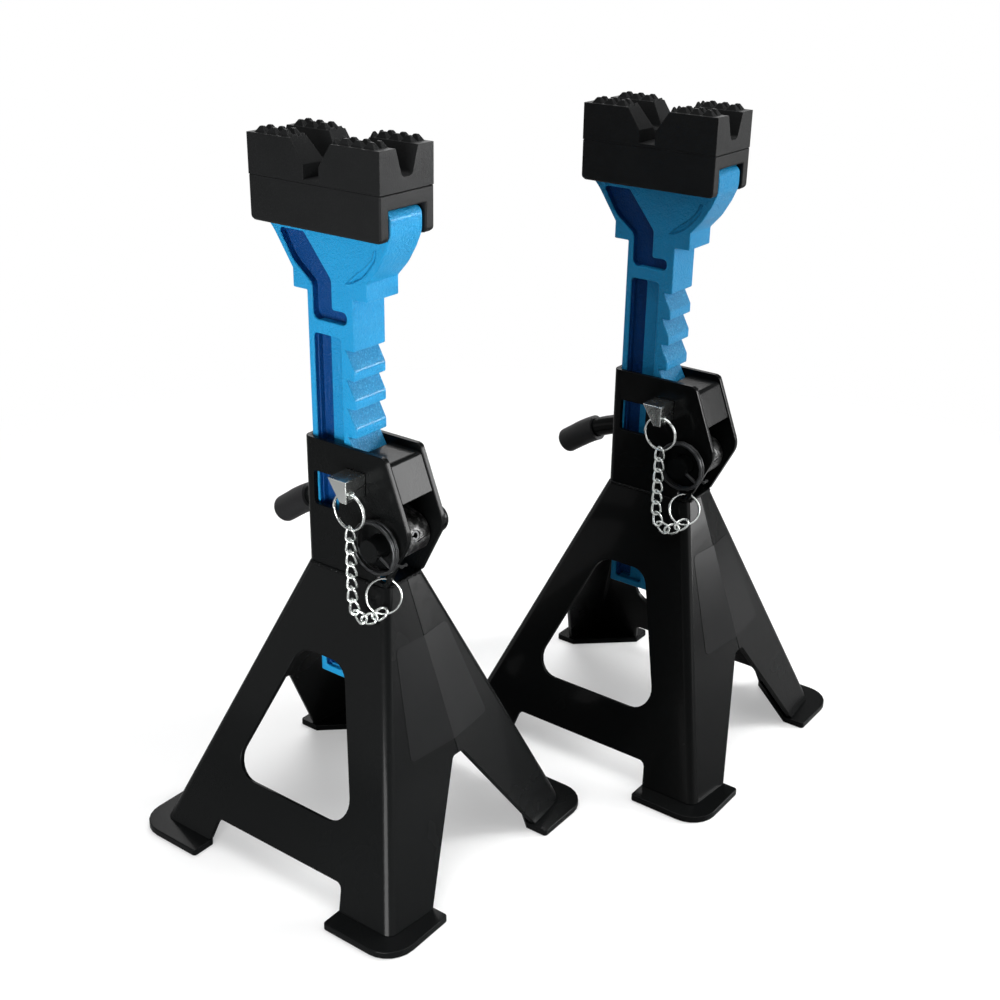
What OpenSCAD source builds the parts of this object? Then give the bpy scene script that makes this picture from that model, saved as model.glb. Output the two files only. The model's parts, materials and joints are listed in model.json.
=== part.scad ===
// A pair of ratchet axle jack stands with rubber saddle pads and chained safety pins.
// +X is the toothed side of each column, -Y the side plate that carries the safety pin,
// +Y the lever side, +Z up. Both stands are the same and stand on z = 0.

/* [Pair] */
// Distance from the front stand to the rear stand along X
pair_dx = 66; // [0:1:120]
// Distance from the front stand to the rear stand along Y
pair_dy = 191; // [185:1:400]

/* [Base] */
// Length of the base over its leg corners
base_len = 166; // [156:1:200]
// Width of the base over its leg corners
base_wid = 153; // [140:1:172]
// Height of the top edge of the base
base_h = 160; // [152:1:175]
// Thickness of the pressed base sheet
sheet_t = 3; // [2:0.5:4]
// Outer radius of the bent base corners
bend_r = 6; // [5:0.5:9]
// Outward lean in plan of the end flanges, in degrees
ridge_a = 5.5; // [0:0.5:8]
// Width of each leg on the side panels
leg_w = 33; // [26:1:38]
// Width of each leg on the end flanges
leg_e = 31; // [26:1:36]
// Height of the underside of the side crossbars
bar_z = 17; // [12:1:24]
// Height of the top of the side crossbars
sill_z = 43; // [36:1:52]
// Height of the top of the side windows
lintel_z = 118; // [100:1:124]
// Width of the side windows at the sill, before rounding
win_w = 88; // [76:1:92]
// Corner radius of the side windows
win_r = 12; // [6:1:14]
// Height of the apex of the end notches
apex_z = 68; // [55:1:80]

/* [Feet] */
// Thickness of the foot plates
foot_t = 4; // [3:0.5:6]
// How far the foot plates reach past the leg corners
foot_out = 11.5; // [6:0.5:16]
// Outer corner radius of the foot plates
foot_r = 16; // [8:1:20]

/* [Head] */
// Height of the head above the base
head_l = 71.3; // [68:0.1:80]
// Thickness of the head plates
plate_t = 3; // [2.5:0.5:4]
// Length of the head along its top edge
head_top = 54.6; // [52:0.2:60]
// Reach of the widest point of the side plates from the back
nose_x = 70.1; // [66:0.1:76]
// Height of the widest point of the side plates above the base
nose_h = 31.3; // [26:0.1:37]
// How far the slope of the cap comes down from the top of the head
cap_drop = 23.5; // [18:0.5:28]
// How far the flat top of the cap lies below the top of the head
cap_sink = 3.5; // [0.4:0.1:6]
// Width of the inspection window in the front plate
peep_w = 17; // [10:1:20]
// Height of the inspection window
peep_h = 18.5; // [10:0.5:22]

/* [Column] */
// Thickness of the column across the teeth
col_w = 23.4; // [18:0.2:28]
// Depth of the column from its back to the tooth tips
col_d = 30.2; // [28:0.2:34]
// Depth of the teeth
tooth_d = 5.3; // [3:0.1:6]
// Pitch of the teeth
pitch = 15; // [14:0.1:16]
// Number of notches
notches = 13; // [10:1:13]
// Length of the column from its lower end to its shoulder
col_l = 213.6; // [190:0.2:219]
// Depth of the recesses in each side of the column
pocket_d = 3; // [1:0.5:4]
// Further depth of the groove along the back of the long recess
groove_d = 3; // [0.5:0.5:4]
// Width of the rails left beside the long recess
rail = 3.5; // [3:0.1:5]
// Length of the saddle from tip to tip
saddle_l = 82; // [70:1:90]

/* [Rubber pad] */
// How far the pad reaches past each end of the saddle
pad_over = 0.7; // [0:0.1:4]
// How far the pad reaches past each side of the column
pad_side = 7.6; // [4:0.1:10]
// Height of the lower half of the pad
carrier_h = 22.3; // [20:0.1:26]
// Height of the upper half of the pad, without its knobs
tread_h = 19.9; // [16:0.1:26]
// Height of the knobs on the pad
knob_h = 3; // [1:0.1:5]
// Distance from one knob to the next along the pad
knob_p = 7.6; // [6:0.1:12]
// Distance from one knob to the next across the pad
knob_q = 5.2; // [5:0.1:9]
// Width of the straight slot across the pad
slot_w = 9.8; // [6:0.2:12]

/* [Pawl and lever] */
// Distance of the pivot from the back of the column
pivot_x = 48; // [47:0.5:50]
// Height of the pivot above the lower edge of the head
pivot_h = 23.8; // [22:0.1:26]
// Diameter of the lever rod
rod_d = 12; // [9:0.5:13]
// Diameter of the boss that joins the lever to the shaft
boss_d = 16; // [14:0.5:20]
// Diameter of the pawl hub
hub_d = 22; // [19:0.5:24]
// Length of the level part of the lever, from the pivot
lever_l = 44.5; // [30:0.5:60]
// Radius of the lever's long downward bend
tail_r = 93; // [60:1:140]
// Downward angle of the end of the lever
tail_a = 35; // [10:1:45]
// Straight end of the lever
tail_l = 11.8; // [6:0.2:18]
// How far the shaft stands out of the front plate
shaft_out = 9.5; // [8:0.5:14]
// Diameter of the roll pin
roll_d = 5; // [4:0.5:6]
// Length of the grip
grip_l = 26; // [20:1:34]
// Diameter of the grip
grip_d = 15.8; // [14:0.2:20]
// Diameter of the return spring wire
wire_d = 2; // [1.4:0.2:2.2]
// Mean diameter of the return spring
coil_d = 28; // [24:0.5:30]

/* [Safety pin] */
// Width of the flat top of the pin
pin_top = 12.2; // [10:0.2:14]
// Width of the narrow underside of the pin
pin_low = 4.5; // [3:0.1:6]
// Height of the pin
pin_h = 11.8; // [9:0.2:12]
// How far the pin stands out of the front plate
pin_out = 14.4; // [12:0.2:24]
// Mean diameter of the two rings
ring_d = 19.6; // [18:0.2:22]
// Wire diameter of the two rings
ring_t = 1.8; // [1.2:0.2:2.2]
// Wire diameter of the chain
link_t = 1.3; // [1:0.1:1.4]
// Width of the chain links
link_w = 6.4; // [6:0.2:6.8]
// Play of one chain link in the next
link_slack = 0.6; // [0.3:0.1:0.8]
// Number of chain links
links = 10; // [10:2:12]

/* [Fits] */
// Gap between the column and the head
slide_gap = 0.4; // [0.2:0.05:0.8]
// Gap round the safety pin
pin_gap = 0.35; // [0.2:0.05:0.6]
// Running gap round the shaft
shaft_gap = 0.1; // [0.05:0.01:0.2]
// Gap between parts that only lie together
seat_gap = 0.3; // [0.1:0.05:0.4]

/* [Hidden] */
$fn = 48;
over = 1; // how far cutting tools reach past what they cut
lap = 0.3; // how far the pieces of a bent bar run into each other

// Column, from its back to its teeth
back_x = -20;
tip_x = back_x + col_d;
root_x = tip_x - tooth_d;
mid_x = (back_x + tip_x) / 2;
flank_h = 0.644 * pitch;
// the pin fills the gap under this notch, and the pawl the one below
pin_notch = 4;
pin_drop = 10.8; // from the top of the head down to the notch that the pin fills
neck_l = 26.3; // plain length between the topmost notch and the shoulder
head_low = base_h + 0.2;
head_h = head_low + head_l;
notch_z = head_h - pin_drop + pin_notch * pitch; // underside above the topmost notch
shoulder_z = notch_z + neck_l;
col_z = shoulder_z - col_l;
cut_notches = min(notches, floor((notch_z - col_z) / pitch) + 1);
shoulder_h = 9.6;
shoulder_l = 48.4;
tip_w = 7.5;
tip_r = 4.5;
saddle_x = mid_x - 1.6;
saddle_z = shoulder_z + shoulder_h + 22.9;
saddle_h = 13;

// Head
in_y = col_w / 2 + slide_gap;
out_y = in_y + plate_t;
head_x = back_x - seat_gap - plate_t;
head_front = head_x + head_top;
foot_front = head_x + head_top - 0.3;
nose_z = head_low + nose_h;

// Base, its top edges round the head
base_x = base_len / 2;
base_y = base_wid / 2;
top_y = out_y + 0.3;
top_back = head_x - 0.7;
top_front = foot_front;

// Rubber pad
pad_l = saddle_l + 2 * pad_over;
pad_w = col_w + 2 * pad_side;
pad_z = saddle_z - seat_gap * 3;
split_z = pad_z + carrier_h;
pad_top = split_z + tread_h;

// Pivot, pawl, lever
piv_x = back_x + pivot_x;
pivot_z = head_low + pivot_h;
rod_y = out_y + rod_d * 0.85;
hub_w = col_w - 1.4;

// Safety pin
pin_z = notch_z - pin_notch * pitch - seat_gap;
pin_x = root_x + 1.3;
eye_y = -out_y - pin_out + 4;
eye_z = pin_z - 8;
eye_d = ring_t * 2 + 0.3;

// Rings and chain: the anchor ring hangs in a hole of the front plate and lies on the corner
anchor = [foot_front - 3.4, head_low + 5.2];
anchor_hole_d = ring_t + 4.8;
ring_c = [pin_x + 10.4, eye_y, eye_z + 0.55 - ring_d / 2];
ring2_dir = [0.354, -0.354, -0.866];
ring2_c = [anchor.x, -in_y - plate_t / 2, anchor.y] + ring2_dir * ring_d / 2;
chain_in = ring_d / 2 - ring_t / 2 - 0.15; // from a ring's centre to where its link starts
chain_a = ring_c - [-0.6, 0, chain_in];
chain_b = ring2_c + ring2_dir * chain_in;
chain_r = (chain_b.x - chain_a.x) / 2;
drop = chain_a.z - chain_b.z - 3.1;
chain_l = drop + PI * chain_r;
link_p = chain_l / links;

// ---------- helpers ----------

function unit(v) = v / norm(v);

// Points of the arc that rounds corner p, between its neighbours a and b
function corner_arc(p, a, b, r, n) =
    let (u = unit(a - p), w = unit(b - p), half = acos(u * w) / 2,
         c = p + unit(u + w) * r / sin(half), s = p + u * r / tan(half) - c,
         turn = 2 * (90 - half) * sign(u.x * w.y - u.y * w.x), a0 = atan2(s.y, s.x))
    [for (i = [0:n]) c + r * [cos(a0 - turn * i / n), sin(a0 - turn * i / n)]];

// An outline of [x, y, radius] points, with each corner rounded by its own radius
function rounded(pts, n = 6) =
    let (m = len(pts), xy = [for (p = pts) [p.x, p.y]])
    [for (i = [0:m - 1]) each pts[i].z == 0 ? [xy[i]]
        : corner_arc(xy[i], xy[(i + m - 1) % m], xy[(i + 1) % m], pts[i].z, n)];

// Extrudes an outline drawn in X and Z along Y, from y0 to y1
module slice_y(y0, y1)
    translate([0, y1, 0]) rotate([90, 0, 0]) linear_extrude(y1 - y0) children();

// A round bar along Y
module bar_y(x, z, d, y0, y1)
    slice_y(y0, y1) translate([x, z]) circle(d = d);

// Puts a thing in a frame given by its origin and its three axes
module in_frame(o, ax, ay, az)
    multmatrix([[ax.x, ay.x, az.x, o.x], [ax.y, ay.y, az.y, o.y], [ax.z, ay.z, az.z, o.z]])
        children();

// ---------- base ----------

panel_a = atan((base_y - top_y) / (base_h - foot_t));
panel_l = (base_h - foot_t) / cos(panel_a);
panel_n = [0, -cos(panel_a), sin(panel_a)];

// Distance up the panel of a height above the floor
function up(z) = (z - foot_t) / cos(panel_a);

// Half width of a side panel at a height above the floor, for a top corner at reach side
function lean(side, z) = base_x - (base_x - side) * (z - foot_t) / (base_h - foot_t);

// Direction of the corner edge of a half that ends at reach side, and of its end flange
function edge_dir(side) = unit([side - base_x, base_y - top_y, base_h - foot_t]);
flat = [sin(ridge_a), cos(ridge_a), 0];
function out_dir(side) = unit(cross(flat, edge_dir(side)));

// The space under the panel and one flange, t inside their outer faces, its edge rounded by r
module wedge(side, t, r) {
    edge = edge_dir(side);
    out = out_dir(side);
    px = cross(panel_n, edge);
    q = [out * px, out * panel_n];
    bend = -t * ([0, 1] + q) / (1 + q.y);
    far = 260;
    along = [-q.y, q.x];
    in_frame([base_x, -base_y, foot_t] - edge * 30, px, panel_n, edge)
        linear_extrude(far) polygon(rounded([[bend.x + far, bend.y + far * 0.01, 0],
            [bend.x, bend.y, r], [bend.x + far * along.x, bend.y + far * along.y, 0],
            [bend.x + far, bend.y - far, 0]], 8));
}

// The space under one half of the base, t inside its outer faces
module tent(t) intersection() {
    translate([0, -base_y, foot_t]) rotate([90 - panel_a, 0, 0])
        translate([-200, -60, -300 - t]) cube([400, 300, 300]);
    wedge(top_front, t, bend_r - t);
    mirror([1, 0, 0]) wedge(-top_back, t, bend_r - t);
}

// What is cut from the side panel: the window, and the gap between its legs
module side_cuts()
    translate([0, -base_y, foot_t]) rotate([90 - panel_a, 0, 0])
        translate([0, 0, -sheet_t * 4]) linear_extrude(sheet_t * 8) {
            taper = (lintel_z - sill_z) * 0.381;
            polygon(rounded([
                [-win_w / 2, up(sill_z), win_r], [win_w / 2, up(sill_z), win_r],
                [win_w / 2 - taper, up(lintel_z), win_r],
                [taper - win_w / 2, up(lintel_z), win_r]], 8));
            polygon(rounded([[-base_x + leg_w, -9, 0], [base_x - leg_w, -9, 0],
                [lean(top_front, bar_z) - leg_w, up(bar_z), 4],
                [leg_w - lean(-top_back, bar_z), up(bar_z), 4]]));
        }

// What is cut from one end: all above its inner corner line and past the seam
module end_cut(side) {
    out = out_dir(side);
    rise = cross(out, flat);
    v = (apex_z - foot_t) / rise.z;
    seam = base_y / cos(ridge_a);
    in_frame([base_x, -base_y, foot_t], flat, rise, out)
        translate([0, 0, -40]) linear_extrude(80)
            polygon(rounded([[leg_e, -12, 0], [leg_e, 0, 0],
                [seam - v * rise.y / cos(ridge_a) - 4, v, 3], [seam + 40, v, 0],
                [seam + 40, -12, 0]]));
}

module base_half() {
    color("#1c1e1f") difference() {
        intersection() {
            tent(0);
            translate([-150, -150, foot_t]) cube([300, 150 - 0.05, base_h - foot_t]);
        }
        tent(sheet_t);
        side_cuts();
        end_cut(top_front);
        mirror([1, 0, 0]) end_cut(-top_back);
    }
}

module base_near() base_half();

module base_far() mirror([0, 1, 0]) base_half();

module foot_plates() {
    ox = base_x + foot_out;
    oy = base_y + foot_out;
    ix = base_x - leg_w - 2.5;
    iy = base_y - leg_e - 1.5;
    color("#1c1e1f") for (sx = [0, 1], sy = [0, 1])
        mirror([sx, 0, 0]) mirror([0, sy, 0]) linear_extrude(foot_t)
            polygon(rounded([[ox, oy, foot_r], [ix, oy, 2], [ix, oy - foot_out - 2, 1],
                [ox - foot_out - 2, iy, 1], [ox, iy, 2]]));
}

// ---------- head ----------

// The side plates seen from the side
module plate_outline()
    polygon(rounded([[head_x, head_low, 0], [foot_front, head_low, 0],
        [head_x + nose_x, nose_z, 12], [head_front, head_h, 4], [head_x, head_h, 0]]));

module pin_outline(gap = 0)
    polygon([[pin_x - gap, pin_z + gap], [pin_x + pin_top + gap, pin_z + gap],
        [pin_x + pin_top + gap, pin_z - pin_h - gap],
        [pin_x + pin_top - pin_low - gap, pin_z - pin_h - gap]]);

module head_channel() {
    color("#1c1e1f") difference() {
        intersection() {
            translate([0, 0, head_low]) linear_extrude(head_h - head_low) difference() {
                polygon(rounded([[head_x, -out_y, 4], [head_x + 80, -out_y, 0],
                    [head_x + 80, out_y, 0], [head_x, out_y, 4]]));
                polygon(rounded([[head_x + plate_t, -in_y, 1], [head_x + 90, -in_y, 0],
                    [head_x + 90, in_y, 0], [head_x + plate_t, in_y, 1]]));
            }
            slice_y(-out_y - over, out_y + over) plate_outline();
        }
        bar_y(piv_x, pivot_z, rod_d + 2 * shaft_gap, -out_y - over, out_y + over);
        slice_y(-out_y - over, out_y + over) pin_outline(pin_gap);
        slice_y(-out_y - over, -in_y + over) polygon(rounded([
            for (c = [[0, 0], [1, 0], [1, 1], [0, 1]])
                [back_x + 3 + c.x * peep_w, pin_z - 25.4 + c.y * peep_h, 1.5]]));
        bar_y(anchor.x, anchor.y, anchor_hole_d, -out_y - over, -in_y + over);
    }
}

// The point of the plates' front slope at a depth below the top of the head
function on_slope(d) = [head_front + (nose_x + head_x - head_front) * d / (head_h - nose_z), head_h - d];

module head_cap() {
    fold = on_slope(cap_sink) - [0.5, 0];
    low = on_slope(cap_drop) - [0.5, 0];
    side = plate_t * unit([-(fold.y - low.y), fold.x - low.x]);
    back = tip_x + 2.2;
    color("#24272a") slice_y(-in_y + 0.15, in_y - 0.15) polygon(rounded([
        [back, fold.y, 0], [fold.x, fold.y, 3], [low.x, low.y, 0], [low.x + side.x, low.y + side.y, 0],
        [fold.x + side.x * 0.7, fold.y - plate_t, 1], [back, fold.y - plate_t, 0]]));
}

// ---------- column and pad ----------

// The column seen from the side, its teeth worked out from the pitch
module column_outline() {
    last = notch_z - (cut_notches - 1) * pitch;
    reach = min(1, (last - col_z) / flank_h);
    front = saddle_x + saddle_l / 2;
    back = saddle_x - saddle_l / 2;
    polygon(rounded(concat(
        [[back_x, col_z, 0], [root_x + reach * tooth_d, col_z, 0]],
        reach < 1 ? [] : [[tip_x, last - flank_h, 0]],
        [for (k = [cut_notches - 1:-1:1]) each [
            [root_x, notch_z - k * pitch, 0], [tip_x, notch_z - k * pitch, 0],
            [tip_x, notch_z - (k - 1) * pitch - flank_h, 0]]],
        [[root_x, notch_z, 0], [tip_x, notch_z, 0], [tip_x, shoulder_z, 0],
            [horn(0), shoulder_z, 0.8], [horn(0), horn_z, 0], [horn(0.447), horn_z + 7.6, 24],
            [horn(0.78), horn_z + 16.2, 24], [front, saddle_z + 1, 12],
            [front, saddle_z + saddle_h, tip_r], [front - tip_w, saddle_z + saddle_h, 1.5],
            [front - tip_w, saddle_z, 0], [back + tip_w, saddle_z, 0],
            [back + tip_w, saddle_z + saddle_h, 1.5], [back, saddle_z + saddle_h, tip_r],
            [back, saddle_z + 1, 8], [heel(0.668), horn_z + 18.2, 30], [heel(0), horn_z, 1.5],
            [heel(0), shoulder_z, 0.8], [back_x, shoulder_z, 0]])));
}

horn_z = shoulder_z + shoulder_h;

// Where the saddle's front and back horns reach, from the shoulder at 0 to the tip at 1
function horn(t) = (1 - t) * (mid_x + shoulder_l / 2) + t * (saddle_x + saddle_l / 2);
function heel(t) = (1 - t) * (mid_x - shoulder_l / 2) + t * (saddle_x - saddle_l / 2);

// A recess cut into both sides of the column
module pocket(pts, deep = 0) {
    slice_y(-col_w, -col_w / 2 + pocket_d + deep) polygon(rounded(pts));
    slice_y(col_w / 2 - pocket_d - deep, col_w) polygon(rounded(pts));
}

module column() {
    color("#2f9fe6") difference() {
        slice_y(-col_w / 2, col_w / 2) column_outline();
        // long recess between the back rail and the toothed rail
        pocket([[back_x + rail, col_z + 4, 2], [root_x - rail, col_z + 4, 2],
            [root_x - rail, notch_z + 5.5, 2], [back_x + rail, notch_z + 5.5, 2]]);
        // deeper groove along its back
        pocket([[back_x + rail + 0.6, col_z + 4.6, 1.5], [back_x + rail + 8.8, col_z + 4.6, 1.5],
            [back_x + rail + 8.8, notch_z + 4.9, 1.5], [back_x + rail + 0.6, notch_z + 4.9, 1.5]],
            groove_d);
        // recess of the head, bent towards the back of the saddle
        pocket([[root_x + 0.7, shoulder_z - 13.7, 3], [root_x + 0.7, shoulder_z - 7.4, 2.5],
            [back_x + 16, shoulder_z - 7.4, 1.5], [back_x + 16, shoulder_z + 7.6, 5],
            [back_x - 1, horn_z + 19, 1.5], [back_x - 18, horn_z + 19, 1.5],
            [back_x - 8.9, shoulder_z + 13.8, 20], [back_x + rail, shoulder_z + 4, 5],
            [back_x + rail, shoulder_z - 13.7, 4]], groove_d / 2);
        // crescent under the front horn of the saddle
        pocket([[mid_x + 11.2, shoulder_z + 7.8, 0], [mid_x + 14.2, shoulder_z + 8.2, 0],
            [mid_x + 20.4, shoulder_z + 11.4, 2], [horn(0.05), horn_z + 6.2, 4],
            [horn(0.33), horn_z + 11.6, 3], [horn(0.4), horn_z + 16.6, 0.5],
            [horn(0.33), horn_z + 16.8, 0.5], [horn(0.2), horn_z + 12, 3],
            [mid_x + 22.9, horn_z + 7.4, 3], [mid_x + 16.9, horn_z + 3.2, 3]],
            0.8 - pocket_d);
    }
}

// The saddle's tips with a gap round them, as cut from the lower half of the pad
module tip_slots() {
    for (m = [0, 1]) translate([saddle_x, 0, 0]) mirror([m, 0, 0])
        translate([saddle_l / 2 - tip_w - seat_gap, -col_w / 2 - 1.6, 0])
            cube([tip_w + seat_gap + over * 4, col_w + 3.2, saddle_z + saddle_h + 1]);
}

module pad_carrier() {
    color("#1b1b1c") difference() {
        intersection() {
            translate([saddle_x - pad_l / 2, 0, pad_z]) rotate([90, 0, 90]) linear_extrude(pad_l)
                polygon(rounded([[-pad_w / 2, 0, 2], [pad_w / 2, 0, 2],
                    [pad_w / 2, carrier_h, 0], [-pad_w / 2, carrier_h, 0]]));
            slice_y(-pad_w, pad_w) translate([saddle_x, pad_z]) polygon(rounded([
                [-pad_l / 2, 0, 3], [pad_l / 2, 0, 3], [pad_l / 2, carrier_h, 0],
                [-pad_l / 2, carrier_h, 0]]));
        }
        tip_slots();
        // groove round the middle of the saddle
        translate([saddle_x - saddle_l / 2 + tip_w - over, -col_w / 2 - 0.6, pad_z - over])
            cube([saddle_l - 2 * tip_w + 2 * over, col_w + 1.2, over + seat_gap * 3 + 0.3]);
    }
}

// The outline of a row of knobs of pitch p over a length l, centred, and down to the split
function knob_row(l, p) = let (n = floor((l - 1) / p), x0 = -n * p / 2)
    concat([[-l / 2, 0], [-l / 2, tread_h]],
        [for (i = [0:n - 1]) each [[x0 + i * p + 0.4, tread_h],
            [x0 + (i + 0.36) * p, tread_h + knob_h], [x0 + (i + 0.64) * p, tread_h + knob_h],
            [x0 + (i + 1) * p - 0.4, tread_h]]],
        [[l / 2, tread_h], [l / 2, 0]]);

// The upper half of the pad, its notches cut right through
module pad_tread() {
    h = tread_h;
    cx = mid_x - 2.2;
    deep = h + knob_h + over;
    color("#1b1b1c") translate([0, 0, split_z + 0.02]) difference() {
        intersection() {
            slice_y(-pad_w / 2, pad_w / 2) translate([saddle_x, 0]) polygon(knob_row(pad_l, knob_p));
            translate([saddle_x - pad_l / 2, 0, 0]) rotate([90, 0, 90]) linear_extrude(pad_l)
                polygon(knob_row(pad_w, knob_q));
        }
        // notch across the pad
        slice_y(-pad_w, pad_w) polygon([[cx - slot_w / 2, 1.8], [cx + slot_w / 2, 1.8],
            [cx + slot_w / 2, h - 11.3], [cx + slot_w / 2 + 7.8, h], [cx + slot_w / 2 + 9, deep],
            [cx - slot_w / 2 - 9, deep], [cx - slot_w / 2 - 7.8, h], [cx - slot_w / 2, h - 11.3]]);
        // notch along the pad, round at the bottom
        translate([saddle_x - pad_l, 0, 0]) rotate([90, 0, 90]) linear_extrude(pad_l * 2)
            polygon(rounded([[-3.5, 6.6, 2.8], [3.5, 6.6, 2.8], [7.8, h, 0], [8.1, deep, 0],
                [-8.1, deep, 0], [-7.8, h, 0]]));
    }
}

// ---------- pawl and lever ----------

catch_z = notch_z - (pin_notch + 1) * pitch;
nose_top = catch_z - 4;
flank_n = norm([tooth_d, flank_h]);

// Where the pawl's face lies at a height, along the flank of its notch
function face_x(z) = root_x + (catch_z - z) * tooth_d / flank_h + seat_gap * flank_n / flank_h;

module pawl() {
    low = catch_z - (tip_x + seat_gap - root_x - seat_gap * flank_n / flank_h)
        * flank_h / tooth_d;
    color("#6d7276") difference() {
        slice_y(-hub_w / 2, hub_w / 2) {
            polygon([[face_x(nose_top), nose_top], [tip_x + seat_gap, low],
                [tip_x + seat_gap, low - 4], [piv_x - hub_d / 2 + 0.4, pivot_z - 2],
                [piv_x, pivot_z - 2], [piv_x + 2, pivot_z + hub_d / 2 - 0.2],
                [piv_x - 11, nose_top - 0.6]]);
            translate([piv_x, pivot_z]) circle(d = hub_d);
        }
        bar_y(piv_x, pivot_z, rod_d + 2 * shaft_gap, -hub_w, hub_w);
        roll_axis() cylinder(d = roll_d + 0.1, h = hub_d * 2, center = true);
    }
}

// The roll pin's line through the pivot
module roll_axis() translate([piv_x, 0, pivot_z]) rotate([0, 73, 0]) children();

module pawl_roll_pin() {
    color("#8c9296") roll_axis() difference() {
        cylinder(d = roll_d, h = hub_d - 0.6, center = true);
        cylinder(d = roll_d - 2, h = hub_d + 2, center = true);
        translate([0, 0, -hub_d]) rotate([0, 0, -90]) translate([0, -0.4, 0])
            cube([roll_d, 0.8, hub_d * 2]);
    }
}

// The end of the lever, from a point on its bend: a bar of diameter d
module lever_end(d, bend, straight) {
    translate([piv_x - lever_l, rod_y, pivot_z - tail_r]) rotate([90, 0, 0])
        rotate([0, 0, 90 + tail_a - bend]) rotate_extrude(angle = bend)
            translate([tail_r, 0]) circle(d = d);
    at_tail() translate([0, 0, -lap]) cylinder(d = d - 0.2, h = straight + lap);
}

// The frame at the end of the lever's bend, +Z along the straight end
module at_tail()
    translate([piv_x - lever_l - tail_r * sin(tail_a), rod_y,
        pivot_z - tail_r * (1 - cos(tail_a))]) rotate([0, -90 - tail_a, 0]) children();

module lever() {
    color("#202224") difference() {
        union() {
            bar_y(piv_x, pivot_z, rod_d, -out_y - shaft_out, rod_y);
            translate([piv_x, out_y + seat_gap, pivot_z]) rotate([-90, 0, 0]) rotate_extrude()
                polygon(rounded([[0, 0, 0], [boss_d / 2, 0, 0], [boss_d / 2, rod_d * 1.35, 3],
                    [0, rod_d * 1.35, 0]]));
            translate([piv_x - lever_l, rod_y, pivot_z]) rotate([0, 90, 0])
                cylinder(d = rod_d, h = lever_l);
            lever_end(rod_d, tail_a, tail_l);
        }
        roll_axis() cylinder(d = roll_d + 0.1, h = hub_d * 2, center = true);
        // hole for the inner leg of the return spring
        translate([piv_x, spring_y, pivot_z]) rotate([0, 90 - spring_in, 0])
            cylinder(d = wire_d + 0.8, h = rod_d * 2, center = true);
    }
}

module lever_grip() {
    bend = (grip_l - tail_l) * 180 / (PI * tail_r);
    cap = 2.4;
    color("#111112") difference() {
        union() {
            translate([piv_x - lever_l, rod_y, pivot_z - tail_r]) rotate([90, 0, 0])
                rotate([0, 0, 90 + tail_a - bend]) rotate_extrude(angle = bend)
                    translate([tail_r, 0]) circle(d = grip_d);
            at_tail() rotate_extrude() polygon(rounded([[0, -lap, 0],
                [grip_d / 2 - 0.1, -lap, 0], [grip_d / 2 - 0.1, tail_l + cap, 3],
                [0, tail_l + cap, 0]]));
        }
        lever_end(rod_d + 0.1, tail_a * 0.9, tail_l + 0.1);
    }
}

// ---------- return spring ----------

spring_turns = 2;
spring_p = wire_d + 0.4;
spring_a = -30; // where the outer leg leaves the coils
spring_in = spring_a - 360 * spring_turns;
spring_start = -out_y - seat_gap - wire_d / 2 - 0.2;
spring_y = spring_start - spring_turns * spring_p;

// The spring's line: its outer leg, its coils and its inner leg into the shaft
function coil(t) = let (a = spring_a - t * 360 * spring_turns, r = coil_d / 2)
    [r * cos(a), spring_start - t * spring_turns * spring_p, r * sin(a)];
spring_n = 36;
spring_line = concat([for (y = [in_y - 1.2, out_y - 0.6]) [coil(0).x + 0.9, -y, coil(0).z - 1.4]], [for (i = [0:spring_n]) coil(i / spring_n)],
    [for (r = [coil_d / 2 - 2.6, rod_d / 2 - 3]) [cos(spring_in) * r, spring_y, sin(spring_in) * r]]);

// A wire of diameter d along a line of points, its section held upright to n
module wire(line, d, sides = 8) {
    m = len(line);
    ring = [for (i = [0:m - 1])
        let (t = unit(line[min(i + 1, m - 1)] - line[max(i - 1, 0)]),
             u = unit(cross([0.05, 1, 0.02], t)), w = cross(t, u))
        each [for (j = [0:sides - 1]) line[i]
            + d / 2 * (cos(j * 360 / sides) * u + sin(j * 360 / sides) * w)]];
    polyhedron(ring, concat([[for (j = [0:sides - 1]) j]],
        [for (i = [0:m - 2], j = [0:sides - 1]) let (k = (j + 1) % sides)
            [i * sides + j, (i + 1) * sides + j, (i + 1) * sides + k, i * sides + k]],
        [[for (j = [sides - 1:-1:0]) (m - 1) * sides + j]]));
}

module return_spring()
    color("#3a3d40") translate([piv_x, 0, pivot_z]) wire(spring_line, wire_d);

// ---------- safety pin, rings and chain ----------

module safety_pin() {
    color("#c9cdd0") difference() {
        slice_y(-out_y - pin_out, out_y + 2) pin_outline();
        translate([pin_x - 5, eye_y, eye_z]) rotate([0, 90, 0])
            cylinder(d = eye_d, h = pin_top + 10);
    }
}

module pin_ring()
    color("#d4d8da") translate(ring_c) rotate([90, 0, 0]) rotate_extrude()
        translate([ring_d / 2, 0]) circle(d = ring_t);

module anchor_ring()
    color("#d4d8da") in_frame(ring2_c, unit([1, 1, 0]), -ring2_dir,
        unit(cross([1, 1, 0], -ring2_dir))) rotate_extrude()
            translate([ring_d / 2, 0]) circle(d = ring_t);

// A point of the chain's line, k links from the pin ring
function chain_at(k) = let (s = k * link_p, t = max(0, s - drop) / (PI * chain_r), a = 180 * t)
    [chain_a.x + chain_r * (1 - cos(a)),
     chain_a.y + (chain_b.y - chain_a.y) * t * t - 2.75 * sin(a),
     chain_a.z - min(s, drop) - chain_r * sin(a)];

// How far the last links lie over, where the chain turns up again
lay = [-13, -27, -31, -20, -17];

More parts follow.
